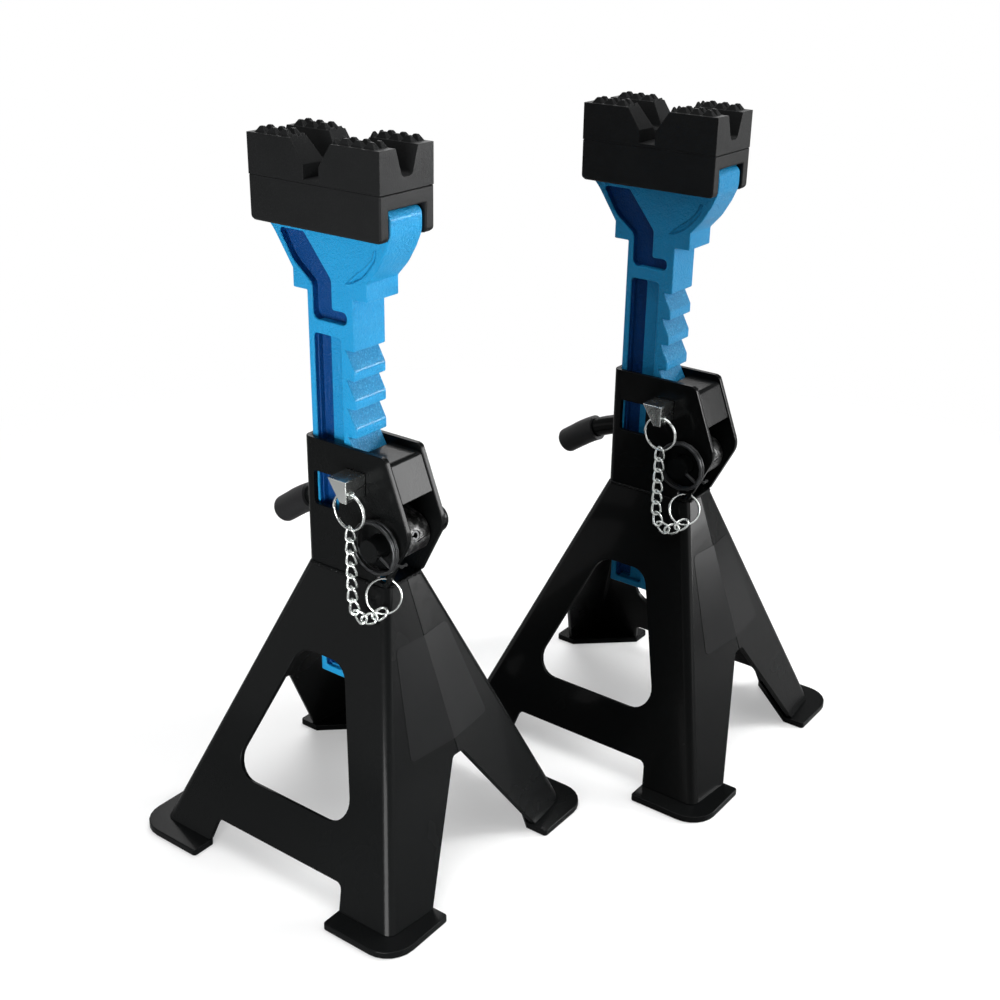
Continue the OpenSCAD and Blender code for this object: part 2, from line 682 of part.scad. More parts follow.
// One flat link between two points, turned about their line: a closed wire
module link(p, q, turn, n = 16, sides = 8) {
    z = unit(q - p);
    y = unit(cross(z, [1, 0.2, 0]));
    half = (norm(q - p) + link_t + link_slack) / 2;
    w = (link_w - link_t) / 2;
    in_frame((p + q) / 2, cross(y, z), y, z) rotate([90, 0, turn]) polyhedron(
        [for (i = [0:n - 1]) let (a = (i + 0.5) * 360 / n, up = sin(a) > 0 ? 1 : -1)
            each [for (j = [0:sides - 1]) let (b = j * 360 / sides, r = w + link_t / 2 * cos(b))
                [r * cos(a), r * sin(a) + up * (half - w), link_t / 2 * sin(b)]]],
        [for (i = [0:n - 1], j = [0:sides - 1])
            let (i2 = (i + 1) % n, j2 = (j + 1) % sides)
            [i * sides + j, i * sides + j2, i2 * sides + j2, i2 * sides + j]]);
}

module chain()
    color("#d4d8da") for (i = [0:links - 1])
        link(chain_at(i), chain_at(i + 1),
            (i % 2 == 0 ? 75 : -15) + (i < links - len(lay) ? 0 : lay[i - links + len(lay)]));

// ---------- the two stands ----------

module front() translate([-pair_dx / 2, -pair_dy / 2, 0]) children();
module rear() translate([pair_dx / 2, pair_dy / 2, 0]) children();

module front_base_near() front() base_near();
module front_base_far() front() base_far();
module front_foot_plates() front() foot_plates();
module front_head_channel() front() head_channel();
module front_head_cap() front() head_cap();
module front_column() front() column();
module front_pad_carrier() front() pad_carrier();
module front_pad_tread() front() pad_tread();
module front_pawl() front() pawl();
module front_pawl_roll_pin() front() pawl_roll_pin();
module front_lever() front() lever();
module front_lever_grip() front() lever_grip();
module front_return_spring() front() return_spring();
module front_safety_pin() front() safety_pin();
module front_pin_ring() front() pin_ring();
module front_chain() front() chain();
module front_anchor_ring() front() anchor_ring();
module rear_base_near() rear() base_near();
module rear_base_far() rear() base_far();
module rear_foot_plates() rear() foot_plates();
module rear_head_channel() rear() head_channel();
module rear_head_cap() rear() head_cap();
module rear_column() rear() column();
module rear_pad_carrier() rear() pad_carrier();
module rear_pad_tread() rear() pad_tread();
module rear_pawl() rear() pawl();
module rear_pawl_roll_pin() rear() pawl_roll_pin();
module rear_lever() rear() lever();
module rear_lever_grip() rear() lever_grip();
module rear_return_spring() rear() return_spring();
module rear_safety_pin() rear() safety_pin();
module rear_pin_ring() rear() pin_ring();
module rear_chain() rear() chain();
module rear_anchor_ring() rear() anchor_ring();

front_base_near();
front_base_far();
front_foot_plates();
front_head_channel();
front_head_cap();
front_column();
front_pad_carrier();
front_pad_tread();
front_pawl();
front_pawl_roll_pin();
front_lever();
front_lever_grip();
front_return_spring();
front_safety_pin();
front_pin_ring();
front_chain();
front_anchor_ring();
rear_base_near();
rear_base_far();
rear_foot_plates();
rear_head_channel();
rear_head_cap();
rear_column();
rear_pad_carrier();
rear_pad_tread();
rear_pawl();
rear_pawl_roll_pin();
rear_lever();
rear_lever_grip();
rear_return_spring();
rear_safety_pin();
rear_pin_ring();
rear_chain();
rear_anchor_ring();
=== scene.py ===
import json
import math
import bpy
import bmesh
from mathutils import Matrix, Vector
from mathutils.bvhtree import BVHTree

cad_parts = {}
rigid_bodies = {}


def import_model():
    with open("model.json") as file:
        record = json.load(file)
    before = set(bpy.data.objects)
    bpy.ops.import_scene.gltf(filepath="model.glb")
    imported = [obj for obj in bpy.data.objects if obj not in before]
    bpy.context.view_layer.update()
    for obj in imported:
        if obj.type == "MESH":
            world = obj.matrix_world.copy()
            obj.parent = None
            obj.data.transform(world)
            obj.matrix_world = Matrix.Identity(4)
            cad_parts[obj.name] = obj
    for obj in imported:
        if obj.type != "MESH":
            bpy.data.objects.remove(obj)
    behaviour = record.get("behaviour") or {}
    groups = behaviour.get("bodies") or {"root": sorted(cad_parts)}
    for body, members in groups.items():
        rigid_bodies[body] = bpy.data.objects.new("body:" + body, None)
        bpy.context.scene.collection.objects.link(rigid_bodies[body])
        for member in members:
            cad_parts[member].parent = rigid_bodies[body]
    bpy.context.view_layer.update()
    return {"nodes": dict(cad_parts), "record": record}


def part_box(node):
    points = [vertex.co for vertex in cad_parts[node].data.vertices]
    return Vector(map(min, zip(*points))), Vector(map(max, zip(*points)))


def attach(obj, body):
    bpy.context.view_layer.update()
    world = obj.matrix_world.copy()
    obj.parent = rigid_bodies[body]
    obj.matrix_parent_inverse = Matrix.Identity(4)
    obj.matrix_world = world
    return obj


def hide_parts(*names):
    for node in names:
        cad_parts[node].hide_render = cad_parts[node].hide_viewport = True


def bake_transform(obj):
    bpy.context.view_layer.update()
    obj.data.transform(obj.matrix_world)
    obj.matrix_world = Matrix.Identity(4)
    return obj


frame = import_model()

nodes = frame["nodes"]
stands = ("front", "rear")
print("frame loaded:", len(nodes), "nodes")


# the camera stands where the view needs it, in metres
cameraView = {"place": (0.42198, -0.59414, 0.49296), "yaw": 36.144, "pitch": 23.763,
              "roll": 0.998, "lens": 50.895}


def placeCamera():
    yaw, pitch, roll = (math.radians(cameraView[k]) for k in ("yaw", "pitch", "roll"))
    ahead = Vector((-math.sin(yaw) * math.cos(pitch), math.cos(yaw) * math.cos(pitch),
                    -math.sin(pitch)))
    right = Vector((math.cos(yaw), math.sin(yaw), 0))
    above = right.cross(ahead)
    side = right * math.cos(roll) + above * math.sin(roll)
    top = above * math.cos(roll) - right * math.sin(roll)
    bpy.ops.object.camera_add(location=cameraView["place"])
    camera = bpy.context.object
    turn = Matrix((side, top, -ahead)).transposed()
    camera.rotation_euler = turn.to_euler()
    camera.data.lens = cameraView["lens"]
    camera.data.sensor_width = 36
    camera.data.clip_start = 0.01
    bpy.context.scene.camera = camera


placeCamera()

# place, what it looks at, width, height, watts
lamps = {
    "topSoftbox": ((0.05, 0.1, 1.55), (0, 0, 0.1), 1.4, 1.2, 17),
    "rightKey": ((1.05, 0.42, 0.66), (0, 0, 0.2), 1.0, 0.8, 5.1),
    "edgeSoftbox": ((0.90, 0.85, 0.36), (0, -0.1, 0.2), 0.36, 0.42, 9.2),
    "frontStandFill": ((0.20, -0.72, 0.14), (-0.03, -0.1, 0.26), 0.35, 0.3, 5.2),
    "backRim": ((-0.7, 0.8, 0.9), (0, 0, 0.25), 0.9, 0.5, 5),
}
for name, (place, goal, wide, high, watts) in lamps.items():
    bpy.ops.object.light_add(type="AREA", location=place)
    lamp = bpy.context.object
    lamp.name = name
    lamp.rotation_euler = (Vector(goal) - Vector(place)).to_track_quat("-Z", "Y").to_euler()
    lamp.data.shape = "RECTANGLE"
    lamp.data.size, lamp.data.size_y = wide, high
    lamp.data.energy = watts
print("camera and lamps placed")


def addNode(tree, kind, settings, values):
    # a node with its settings, such as a ramp's stops, then the values and links of its sockets
    made = tree.nodes.new(kind)
    for setting, value in settings.items():
        if setting == "stops":
            ramp = made.color_ramp
            while len(ramp.elements) < len(value):
                ramp.elements.new(0.5)
            for stop, (spot, shade) in zip(ramp.elements, value):
                stop.position = spot
                stop.color = (shade, shade, shade, 1)
        else:
            setattr(made, setting, value)
    for socket, value in values.items():
        if isinstance(value, bpy.types.NodeSocket):
            tree.links.new(value, made.inputs[socket])
        else:
            made.inputs[socket].default_value = value
    return made


class Signal:
    # one socket of a material, with the sums and products that a pattern needs
    def __init__(self, paint, socket):
        self.paint, self.socket = paint, socket

    def sum(self, operation, first, second):
        return self.paint.node("ShaderNodeMath", {"operation": operation}, {0: first, 1: second})

    def __add__(self, other):
        return self.sum("ADD", self, other)

    def __sub__(self, other):
        return self.sum("SUBTRACT", self, other)

    def __mul__(self, other):
        return self.sum("MULTIPLY", self, other)

    def __radd__(self, other):
        return self.sum("ADD", other, self)

    def __rsub__(self, other):
        return self.sum("SUBTRACT", other, self)

    def __rmul__(self, other):
        return self.sum("MULTIPLY", other, self)


class Paint:
    # a material with one main shader
    def __init__(self, name, colour, roughness, metallic=0.0, **fixed):
        self.material = bpy.data.materials.new(name)
        self.material.use_nodes = True
        self.tree = self.material.node_tree
        self.shader = self.tree.nodes["Principled BSDF"]
        self.shader.inputs["Base Color"].default_value = (*colour, 1)
        self.shader.inputs["Roughness"].default_value = roughness
        self.shader.inputs["Metallic"].default_value = metallic
        for socket, value in fixed.items():
            self.shader.inputs[socket.replace("_", " ")].default_value = value
        self.place = self.node("ShaderNodeTexCoord", {}, {}, "Object")

    def node(self, kind, settings, values, out=0):
        plain = {socket: value.socket if isinstance(value, Signal) else value
                 for socket, value in values.items()}
        return Signal(self, addNode(self.tree, kind, settings, plain).outputs[out])

    def feed(self, socket, signal):
        self.tree.links.new(signal.socket, self.shader.inputs[socket])

    def noise(self, scale, detail=2.0, rough=0.5):
        return self.node("ShaderNodeTexNoise", {}, {"Vector": self.place, "Scale": scale,
                         "Detail": detail, "Roughness": rough}, 0)

    def ramp(self, signal, stops):
        return self.node("ShaderNodeValToRGB", {"stops": stops}, {0: signal})

    def attribute(self, name):
        return self.node("ShaderNodeAttribute", {"attribute_name": name}, {}, "Fac")

    def blendColours(self, mask, first, second):
        # each of the two is a colour or a signal that carries one
        first, second = (side if isinstance(side, Signal) else (*side, 1) for side in (first, second))
        return self.node("ShaderNodeMix", {"data_type": "RGBA"}, {0: mask, 6: first, 7: second}, 2)

    def bump(self, height, strength, distance):
        self.feed("Normal", self.node("ShaderNodeBump", {}, {"Height": height,
                  "Strength": strength, "Distance": distance}))


def gloss(paint, base, spread, scale, detail=3.0):
    # roughness that drifts a little from spot to spot
    paint.feed("Roughness", paint.noise(scale, detail) * spread + (base - spread / 2))


# finishes, each with its own grain
def mixBlackEnamel():
    enamel = Paint("blackEnamel", (0.0042, 0.0046, 0.0047), 0.26, Specular_IOR_Level=0.06,
                   Coat_Weight=0.07, Coat_Roughness=0.08)
    drift = enamel.noise(9, 3)
    dark, light = (0.0028, 0.0031, 0.0032), (0.0054, 0.0059, 0.0060)
    enamel.feed("Base Color", enamel.blendColours(drift, dark, light))
    gloss(enamel, 0.26, 0.10, 22)
    peel = enamel.noise(700, 2) * 0.6 + enamel.noise(110, 2) * 0.9
    enamel.bump(peel, 0.14, 0.0006)
    return enamel.material


def mixBlueEnamel():
    enamel = Paint("blueEnamel", (0.018, 0.31, 0.61), 0.32, Specular_IOR_Level=0.2,
                   Coat_Roughness=0.15)
    face = enamel.blendColours(enamel.noise(30, 3), (0.008, 0.275, 0.585), (0.015, 0.33, 0.66))
    sunk, toothed = enamel.attribute("sunk"), enamel.attribute("toothed")
    # the cast grain of the toothed side, with its sparkle painted in: light speckles, painted glints, on
    # a darker blue
    paintedGlints = enamel.ramp(enamel.noise(950, 2, 0.6) * 0.75 + enamel.noise(2100, 1) * 0.25,
                        ((0.47, 0.0), (0.57, 0.35), (0.68, 1.0)))
    glintSpeckled = enamel.blendColours(paintedGlints, (0.005, 0.165, 0.355), (0.07, 0.42, 0.67))
    shown = enamel.blendColours(toothed, face, glintSpeckled)
    # the deep recesses are painted dark navy: painted shade
    enamel.feed("Base Color", enamel.blendColours(sunk, shown, (0.0004, 0.050, 0.205)))
    enamel.feed("Coat Weight", toothed * 0.2 + 0.03)
    gloss(enamel, 0.32, 0.16, 60)
    grain = enamel.noise(1500, 3, 0.6) * 0.7 + enamel.noise(700, 3, 0.6) + enamel.noise(90, 2) * 0.25
    enamel.bump(grain, 0.8, 0.0012)
    return enamel.material


def mixPadRubber():
    rubber = Paint("padRubber", (0.009, 0.0096, 0.0099), 0.5, Specular_IOR_Level=0.11)
    drift = rubber.noise(45, 4)
    dark, light = (0.007, 0.0074, 0.0077), (0.012, 0.0126, 0.0129)
    rubber.feed("Base Color", rubber.blendColours(drift, dark, light))
    gloss(rubber, 0.5, 0.14, 70)
    rubber.bump(rubber.noise(1000, 2) * 0.6 + rubber.noise(170, 3) * 0.7, 0.26, 0.0006)
    return rubber.material


def mixZinc():
    zinc = Paint("zincPlate", (0.72, 0.74, 0.73), 0.26, 1.0)
    drift = zinc.noise(180, 3)
    zinc.feed("Base Color", zinc.blendColours(drift, (0.76, 0.79, 0.77), (0.90, 0.93, 0.91)))
    gloss(zinc, 0.25, 0.16, 240)
    zinc.bump(zinc.noise(900, 2), 0.16, 0.0004)
    return zinc.material


def mixPawlSteel():
    # a casting in black paint, with lighter blotches painted into its colour for a mottled sheen: painted
    # highlights
    steel = Paint("pawlSteel", (0.05, 0.052, 0.054), 0.34, 0.6, Specular_IOR_Level=0.5)
    paintedSheen = steel.ramp(steel.noise(260, 4, 0.65), ((0.46, 0.008), (0.64, 0.14)))
    steel.feed("Base Color", paintedSheen)
    gloss(steel, 0.34, 0.22, 200)
    steel.bump(steel.noise(430, 3) + steel.noise(1200, 2) * 0.4, 0.5, 0.0007)
    return steel.material


def mixSpringSteel():
    steel = Paint("springSteel", (0.03, 0.031, 0.032), 0.3, 0.7)
    drift = steel.noise(200, 3)
    steel.feed("Base Color", steel.blendColours(drift, (0.02, 0.021, 0.022), (0.06, 0.062, 0.064)))
    gloss(steel, 0.3, 0.12, 200)
    return steel.material


def mixGripRubber():
    grip = Paint("gripRubber", (0.010, 0.010, 0.011), 0.5, Specular_IOR_Level=0.25)
    drift = grip.noise(60, 3)
    grip.feed("Base Color", grip.blendColours(drift, (0.008, 0.008, 0.009), (0.014, 0.014, 0.015)))
    gloss(grip, 0.48, 0.1, 90)
    grip.bump(grip.noise(700, 2), 0.2, 0.0005)
    return grip.material


def mixLabelFilm():
    # a bare film: nothing is written on it
    film = Paint("labelFilm", (0.0085, 0.0089, 0.0092), 0.22, Specular_IOR_Level=0.1)
    drift = film.noise(25, 2)
    dark, light = (0.0075, 0.0079, 0.0082), (0.0095, 0.0099, 0.0102)
    film.feed("Base Color", film.blendColours(drift, dark, light))
    gloss(film, 0.22, 0.06, 40)
    film.bump(film.noise(60, 2), 0.05, 0.0004)
    return film.material


finishes = {
    "blackEnamel": mixBlackEnamel(), "blueEnamel": mixBlueEnamel(), "padRubber": mixPadRubber(),
    "zincPlate": mixZinc(), "pawlSteel": mixPawlSteel(), "springSteel": mixSpringSteel(),
    "gripRubber": mixGripRubber(), "labelFilm": mixLabelFilm(),
}
nodeFinish = {
    "base_near": "blackEnamel", "base_far": "blackEnamel", "foot_plates": "blackEnamel",
    "head_channel": "blackEnamel", "head_cap": "blackEnamel", "column": "blueEnamel",
    "pad_carrier": "padRubber", "pad_tread": "padRubber", "pawl": "pawlSteel",
    "pawl_roll_pin": "springSteel", "lever": "blackEnamel", "lever_grip": "gripRubber",
    "return_spring": "springSteel", "safety_pin": "zincPlate", "pin_ring": "zincPlate",
    "chain": "zincPlate", "anchor_ring": "zincPlate",
}
slotOf = {row["node"]: row["material_slot"] for row in frame["record"]["subparts"]}
for stand in stands:
    for part, finish in nodeFinish.items():
        for spot in nodes[f"{stand}_{part}"].material_slots:
            spot.material = finishes[finish]
print("finishes mixed")


# edge rounding of the cast, pressed and moulded parts: radius in metres, steps and body. "parted" says
# where the flats are cut before they are joined up again, in metres from the part's low end along X:
# () joins them uncut, and None leaves them as they are
softened = {
    "column": {"radius": 0.0008, "steps": 3, "body": "column", "parted": (0.0333, 0.0402, 0.064)},
    "pad_carrier": {"radius": 0.0008, "steps": 3, "body": "column", "parted": None},
    "pad_tread": {"radius": 0.00025, "steps": 2, "body": "column", "parted": None},
    "head_cap": {"radius": 0.0006, "steps": 2, "body": None, "parted": ()},
    "head_channel": {"radius": 0.0004, "steps": 2, "body": None, "parted": None},
    "base_near": {"radius": 0.0005, "steps": 2, "body": None, "parted": ()},
    "base_far": {"radius": 0.0005, "steps": 2, "body": None, "parted": ()},
    "foot_plates": {"radius": 0.0006, "steps": 2, "body": None, "parted": ()},
    "safety_pin": {"radius": 0.0004, "steps": 2, "body": "pin", "parted": None},
    "pawl": {"radius": 0.0006, "steps": 2, "body": "lever", "parted": None},
}
# edges deeper than this in the column's recesses get a share of the rounding, so a ledge keeps its
# width; the long recess ends at these heights above the column's low end
recessEdges = {"deeper": 0.0026, "share": 0.3, "ends": (0.0065, 0.1903)}
# in degrees: edges sharper than "sharp" are rounded, flats turned less than "sameFlat" are one, and
# wire is shaded smooth up to "smooth"; points closer than "samePoint" metres are one
edgeRules = {"sharp": 28, "sameFlat": 1, "smooth": 50, "samePoint": 0.00002}


def pick(piece):
    # one piece alone is selected and active
    bpy.ops.object.select_all(action="DESELECT")
    piece.select_set(True)
    bpy.context.view_layer.objects.active = piece
    return piece


def joinPieces(pieces, name):
    pick(pieces[0])
    for piece in pieces:
        piece.select_set(True)
    bpy.ops.object.join()
    joined = bpy.context.object
    joined.name = name
    return joined


def finishPiece(piece, finish, body):
    piece.data.materials.clear()
    piece.data.materials.append(finishes[finish])
    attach(piece, body)


def openCopy(source, name, samePoint):
    # a CAD node's mesh is loose triangles, so its copy is merged; it is left open in edit mode
    piece = bpy.data.objects.new(name, source.data.copy())
    bpy.context.collection.objects.link(piece)
    pick(piece)
    bpy.ops.mesh.customdata_custom_splitnormals_clear()
    bpy.ops.object.mode_set(mode="EDIT")
    bpy.ops.mesh.select_all(action="SELECT")
    bpy.ops.mesh.remove_doubles(threshold=samePoint)
    return piece


def partFlats(cuts):
    # the flats are cut on these planes, and joined up again on each side of them
    for place, square in cuts:
        bpy.ops.mesh.select_all(action="SELECT")
        bpy.ops.mesh.bisect(plane_co=place, plane_no=square)
        bpy.ops.mesh.mark_seam()
    bpy.ops.mesh.select_all(action="SELECT")
    bpy.ops.mesh.dissolve_limited(angle_limit=math.radians(edgeRules["sameFlat"]), delimit={"SEAM"})


def softenPart(stand, part):
    size, source = softened[part], nodes[f"{stand}_{part}"]
    low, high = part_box(source.name)
    piece = openCopy(source, f"{stand}_{part}_rounded", edgeRules["samePoint"])
    if size["parted"] is not None:
        cuts = [((low.x + cut, 0, 0), (1, 0, 0)) for cut in size["parted"]]
        if part == "column":
            cuts += [((0, 0, low.z + cut), (0, 0, 1)) for cut in recessEdges["ends"]]
        partFlats(cuts)
    bpy.ops.mesh.select_mode(type="EDGE")
    bpy.ops.mesh.select_all(action="DESELECT")
    bpy.ops.mesh.edges_select_sharp(sharpness=math.radians(edgeRules["sharp"]))
    bpy.ops.object.mode_set(mode="OBJECT")
    deeper = recessEdges["deeper"] if part == "column" else math.inf
    weights = piece.data.attributes.new("bevel_weight_edge", "FLOAT", "EDGE").data
    for edge in piece.data.edges:
        places = [piece.data.vertices[point].co.y for point in edge.vertices]
        inside = all(low.y + deeper < place < high.y - deeper for place in places)
        weights[edge.index].value = (recessEdges["share"] if inside else 1.0) if edge.select else 0.0
    rounding = piece.modifiers.new("rounding", "BEVEL")
    rounding.width, rounding.segments = size["radius"], size["steps"]
    rounding.limit_method = "WEIGHT"
    rounding.use_clamp_overlap = False
    bpy.ops.object.modifier_apply(modifier="rounding")
    bpy.ops.object.shade_smooth()
    shading = piece.modifiers.new("shading", "WEIGHTED_NORMAL")
    shading.mode, shading.weight, shading.keep_sharp = "FACE_AREA", 100, True
    bpy.ops.object.modifier_apply(modifier="shading")
    body = f"{stand}_{size['body']}" if size["body"] else "root"
    finishPiece(piece, nodeFinish[part], body)
    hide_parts(source.name)
    return piece


# painted shade: depths below the column's broad faces, in metres, where floors are painted dark from
# "shallow" over "fade", and walls between "rim" and "deepest" are painted dark where another wall stands
# within "across" or a ledge within "ledge". Rays start "off" their face, and the tilts tell floors and
# walls by their normals
paintedRecessShade = {"shallow": 0.0027, "fade": 0.0016, "rim": 0.0009, "deepest": 0.0065, "across": 0.03,
             "ledge": 0.001, "off": 0.0002, "floorTilt": 0.5, "wallTilt": 0.1}
# the grain of the toothed side, with glints painted into its colour: its strength on upright faces and
# on the flanks of the teeth, where the teeth end above the column's low end, and the normals over which
# flank and side come in
grainGlintSizes = {"upright": 0.3, "flank": 0.8, "toothEnd": 0.19, "fullTilt": 0.35,
             "sideFrom": 0.2, "sideOver": 0.3}


def clampShare(value):
    return min(1.0, max(0.0, value))


def shadeRecesses(piece, stand):
    # one attribute is the painted shade: 1 on the floors and side walls of the deep recesses and nearly 0
    # elsewhere; the other is the strength of the grain, with its glints painted in
    low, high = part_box(f"{stand}_column")
    middle, half = (low.y + high.y) / 2, (high.y - low.y) / 2
    upright, rough = grainGlintSizes["upright"], grainGlintSizes["flank"]
    sunk = piece.data.attributes.new("sunk", "FLOAT", "FACE")
    toothed = piece.data.attributes.new("toothed", "FLOAT", "FACE")
    solid = BVHTree.FromPolygons([point.co for point in piece.data.vertices],
                                 [face.vertices for face in piece.data.polygons])

    def wallWithin(face, side, reach):
        start = face.center + face.normal * paintedRecessShade["off"]
        return solid.ray_cast(start, Vector((side, 0, 0)), reach)[0] is not None

    for spot, face in enumerate(piece.data.polygons):
        depth, normal = half - abs(face.center.y - middle), face.normal
        # the glints are painted strongest on the upward flanks of the teeth, and only on faces turned
        # towards +X
        amongTeeth = face.center.z < low.z + grainGlintSizes["toothEnd"]
        flank = clampShare(normal.z / grainGlintSizes["fullTilt"]) if amongTeeth else 0
        side = clampShare((normal.x - grainGlintSizes["sideFrom"]) / grainGlintSizes["sideOver"])
        grain = side * (upright + (rough - upright) * flank)
        isFloor = abs(normal.y) > paintedRecessShade["floorTilt"]
        shade = clampShare((depth - paintedRecessShade["shallow"]) / paintedRecessShade["fade"]) if isFloor else 0
        if paintedRecessShade["rim"] < depth < paintedRecessShade["deepest"]:
            isWall = abs(normal.x) > paintedRecessShade["wallTilt"]
            if isWall and wallWithin(face, math.copysign(1, normal.x), paintedRecessShade["across"]):
                shade, grain = 1, 0
            elif depth > paintedRecessShade["shallow"] and wallWithin(face, -1, paintedRecessShade["ledge"]):
                shade = 1
        sunk.data[spot].value = shade
        toothed.data[spot].value = grain


for stand in stands:
    for part in softened:
        piece = softenPart(stand, part)
        if part == "column":
            shadeRecesses(piece, stand)
print("edges rounded")


# wire, width and pitch of the links in metres, their twist in degrees, the steps round a link and
# round its wire, where their flat sides face, how far the line runs past the end links in pitches,
# the middle of a link that stays as it is, and the distance at which points are one
chainSize = {"wire": 0.0015, "width": 0.0068, "pitch": 0.0070, "twist": -88, "turns": 28, "sides": 8,
             "faces": (0.1, -1, 0.1), "endGap": 0.5, "middle": 0.00005, "samePoint": 0.00001}


def makeLink():
    # an oval wire loop along X, twisted about its length
    wide, wire = chainSize["width"], chainSize["wire"]
    bpy.ops.object.select_all(action="DESELECT")
    bpy.ops.mesh.primitive_torus_add(major_radius=(wide - wire) / 2, minor_radius=wire / 2,
                                     major_segments=chainSize["turns"], minor_segments=chainSize["sides"])
    link = pick(bpy.context.object)
    stretch = (chainSize["pitch"] + 2 * wire - wide) / 2
    bpy.ops.object.mode_set(mode="EDIT")
    for side in (1, -1):
        bpy.ops.mesh.select_all(action="DESELECT")
        shape = bmesh.from_edit_mesh(link.data)
        for point in shape.verts:
            point.select = point.co.x * side > chainSize["middle"]
        bmesh.update_edit_mesh(link.data)
        bpy.ops.transform.translate(value=(stretch * side, 0, 0))
    bpy.ops.object.mode_set(mode="OBJECT")
    twist = link.modifiers.new("twist", "SIMPLE_DEFORM")
    twist.deform_method, twist.deform_axis = "TWIST", "X"
    twist.angle = math.radians(chainSize["twist"])
    bpy.ops.object.modifier_apply(modifier="twist")
    bpy.ops.object.shade_smooth()
    return link


def chainLine(stand):
    # the middles of the solid links, in order from the pin's ring
    shape = bmesh.new()
    shape.from_mesh(nodes[f"{stand}_chain"].data)
    bmesh.ops.remove_doubles(shape, verts=shape.verts, dist=chainSize["samePoint"])
    shape.verts.index_update()
    left, middles = set(shape.verts), []
    while left:
        group, edge = set(), [left.pop()]
        while edge:
            point = edge.pop()
            group.add(point)
            for side in point.link_edges:
                other = side.other_vert(point)
                if other in left:
                    left.discard(other)
                    edge.append(other)
        # summed in one order, so that each run gives the same middle
        ordered = sorted(group, key=lambda point: point.index)
        middles.append(sum((point.co for point in ordered), Vector()) / len(ordered))
    shape.free()
    line = [sum(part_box(f"{stand}_pin_ring"), Vector()) / 2]
    while middles:
        line.append(min(middles, key=lambda spot: (spot - line[-1]).length))
        middles.remove(line[-1])
    # the ring's place is given up for the end of the first link
    line[0] = line[1] + (line[1] - line[2]) * chainSize["endGap"]
    line.append(line[-1] + (line[-1] - line[-2]) * chainSize["endGap"])
    return line


def spotAlong(line, reach):
    for start, end in zip(line, line[1:]):
        step = (end - start).length
        if reach <= step:
            return start.lerp(end, reach / step)
        reach -= step
    return line[-1]


def layChain(stand):
    line = chainLine(stand)
    whole = sum((end - start).length for start, end in zip(line, line[1:]))
    count = round(whole / chainSize["pitch"])
    step = whole / count
    model = makeLink()
    links = []
    for turn in range(count):
        start, end = spotAlong(line, turn * step), spotAlong(line, (turn + 1) * step)
        along = (end - start).normalized()
        out = Vector(chainSize["faces"])
        out = (out - along * out.dot(along)).normalized()
        over = out.cross(along)
        place = Matrix((along, over, out)).transposed().to_4x4()
        place.translation = (start + end) / 2
        link = bpy.data.objects.new(f"link{turn}", model.data.copy())
        bpy.context.collection.objects.link(link)
        link.data.transform(place)
        links.append(link)
    bpy.data.objects.remove(model)
    chain = joinPieces(links, f"{stand}_curb_chain")
    chain.data.materials.clear()
    chain.data.materials.append(finishes["zincPlate"])
    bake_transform(chain)
    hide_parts(f"{stand}_chain")
    print(stand, "chain of", count, "links", round(whole * 1000, 1), "mm")


for stand in stands:
    layChain(stand)
print("chains laid")


# split rings of two close turns: wire, pitch and number of the turns, steps round a turn and round
# the wire, and the radius to the wire's middle on each ring
ringSize = {"wire": 0.0011, "pitch": 0.00080, "turns": 1.9, "steps": 72, "sides": 10,
            "pin_ring": 0.0098, "anchor_ring": 0.0090}


def coilRing(stand, part, body):
    points = [point.co.copy() for point in nodes[f"{stand}_{part}"].data.vertices]
    centre = sum(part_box(f"{stand}_{part}"), Vector()) / 2
    # the ring's own axis is square to two spokes of it
    first = points[0] - centre
    second = max(points, key=lambda point: first.cross(point - centre).length) - centre
    axis = first.cross(second).normalized()
    bpy.ops.object.select_all(action="DESELECT")
    bpy.ops.mesh.primitive_circle_add(vertices=ringSize["sides"], radius=ringSize["wire"] / 2)
    ring = pick(bpy.context.object)
    ring.name = f"{stand}_{part}_split"
    upright = Matrix.Rotation(math.radians(90), 4, "X")
    ring.data.transform(Matrix.Translation((ringSize[part], 0, 0)) @ upright)
    coil = ring.modifiers.new("coil", "SCREW")
    coil.angle = math.radians(360 * ringSize["turns"])
    coil.screw_offset = ringSize["pitch"] * ringSize["turns"]
    coil.steps = coil.render_steps = round(ringSize["steps"] * ringSize["turns"])
    coil.use_merge_vertices = False
    bpy.ops.object.modifier_apply(modifier="coil")
    bpy.ops.object.mode_set(mode="EDIT")
    bpy.ops.mesh.select_all(action="DESELECT")
    bpy.ops.mesh.select_non_manifold()
    bpy.ops.mesh.edge_face_add()
    bpy.ops.mesh.select_all(action="SELECT")
    bpy.ops.mesh.normals_make_consistent(inside=False)
    bpy.ops.object.mode_set(mode="OBJECT")
    middled = Matrix.Translation((0, 0, -ringSize["pitch"] * ringSize["turns"] / 2))
    turned = axis.to_track_quat("Z", "Y").to_matrix().to_4x4()
    ring.data.transform(Matrix.Translation(centre) @ turned @ middled)
    bpy.ops.object.shade_smooth_by_angle(angle=math.radians(edgeRules["smooth"]))
    finishPiece(ring, "zincPlate", body)
    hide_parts(f"{stand}_{part}")


for stand in stands:
    coilRing(stand, "pin_ring", f"{stand}_pin")
    coilRing(stand, "anchor_ring", "root")
print("rings coiled")


# the spring's coils lie between its outer leg, held by the plate, and its inner leg in the shaft
springSize = {"wire": 0.002, "coils": 0.0028, "samePoint": 0.00001}


